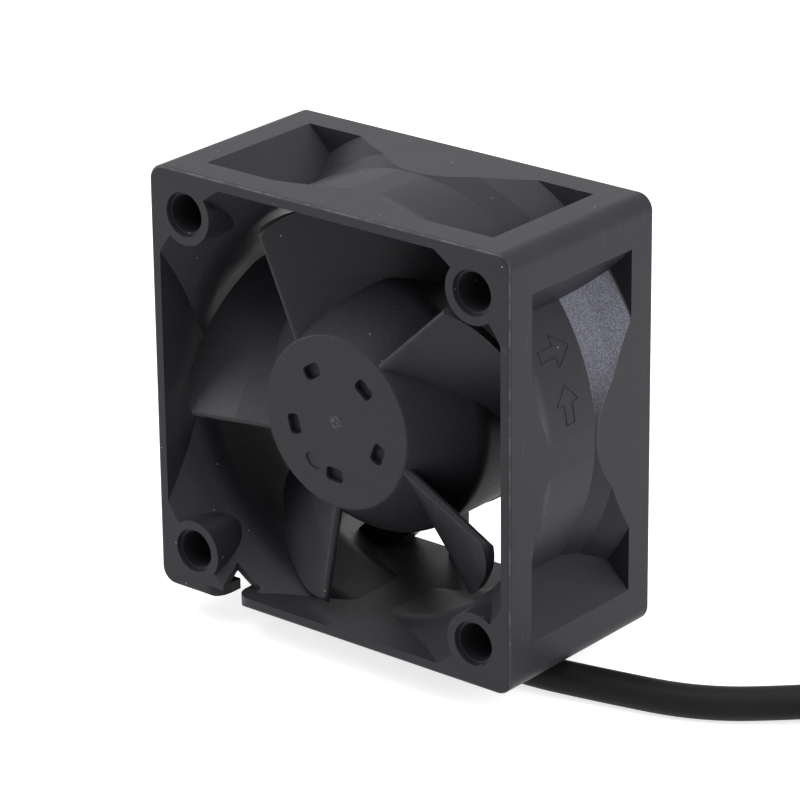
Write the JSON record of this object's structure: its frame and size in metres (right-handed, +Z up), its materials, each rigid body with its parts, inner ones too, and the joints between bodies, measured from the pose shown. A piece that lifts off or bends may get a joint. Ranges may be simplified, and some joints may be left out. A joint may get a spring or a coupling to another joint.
{
  "type": "axial cooling fan",
  "caption": "Square-frame axial cooling fan with a leaning-blade impeller, ball-bearing motor in the hub, screw tubes in the corners and a jacketed lead.",
  "frame": {"origin": "on the fan's axis, on the inlet face", "axes": "+X to the right seen from the inlet side, +Y the way the air moves, +Z up"},
  "size_m": [0.099, 0.0362, 0.0431],
  "materials": {
    "frame_plastic": "moulded glass-filled plastic, satin to matt",
    "impeller_plastic": "moulded plastic, satin",
    "plug_plastic": "moulded plastic",
    "brass_bush": "turned",
    "shaft_steel": "ground",
    "yoke_steel": "deep drawn, plated",
    "magnet": "bonded ferrite",
    "bearing_steel": "ground",
    "ball_steel": "polished",
    "cage_brass": "pressed",
    "lamination": "stacked sheet",
    "insulator": "moulded nylon",
    "copper_wire": "enamelled winding",
    "pin_metal": "tinned",
    "board": "glass laminate with solder mask",
    "chip": "moulded package",
    "passive": "ceramic",
    "solder": "solder",
    "wire_red": "insulation",
    "wire_black": "insulation",
    "wire_yellow": "insulation",
    "jacket": "extruded sleeve",
    "tie": "plastic tie"
  },
  "bodies": {
    "housing": {"chip_capacitors": "passive", "chip_resistors": "passive", "circuit_board": "board", "cord_coil": "jacket", "cord_jacket": "jacket", "cord_tie": "tie", "driver_chip": "chip", "end_wire_black": "wire_black", "end_wire_red": "wire_red", "end_wire_yellow": "wire_yellow", "frame": "frame_plastic", "front_insulator": "insulator", "front_outer_ring": "bearing_steel", "front_shields": "bearing_steel", "hall_sensor": "chip", "lead_wire_black": "wire_black", "lead_wire_red": "wire_red", "lead_wire_yellow": "wire_yellow", "rear_insulator": "insulator", "rear_outer_ring": "bearing_steel", "rear_plug": "plug_plastic", "rear_shields": "bearing_steel", "solder_joints": "solder", "stator_coils": "copper_wire", "stator_core": "lamination", "tinned_tips": "pin_metal", "winding_pins": "pin_metal"},
    "rotor": {"impeller": "impeller_plastic", "shaft_bush": "brass_bush", "shaft": "shaft_steel", "rotor_yoke": "yoke_steel", "rotor_magnet": "magnet", "preload_spring": "shaft_steel", "thrust_washer": "shaft_steel", "retaining_clip": "shaft_steel", "front_inner_ring": "bearing_steel", "rear_inner_ring": "bearing_steel"},
    "front_ball_set": {"front_balls": "ball_steel", "front_cage": "cage_brass"},
    "rear_ball_set": {"rear_balls": "ball_steel", "rear_cage": "cage_brass"}
  },
  "joints": [
    {"name": "rotor_spin", "type": "hinge", "parent": "housing", "child": "rotor", "pos_m": [0, 0.008, 0], "axis": [0, -1, 0], "continuous": true},
    {"name": "front_cage_spin", "type": "hinge", "parent": "housing", "child": "front_ball_set", "pos_m": [0, 0.00815, 0], "axis": [0, -1, 0], "continuous": true},
    {"name": "rear_cage_spin", "type": "hinge", "parent": "housing", "child": "rear_ball_set", "pos_m": [0, 0.01635, 0], "axis": [0, -1, 0], "continuous": true}
  ],
  "couplings": [
    {"joint": "front_cage_spin", "follows": "rotor_spin", "ratio": 0.3857},
    {"joint": "rear_cage_spin", "follows": "rotor_spin", "ratio": 0.3857}
  ]
}
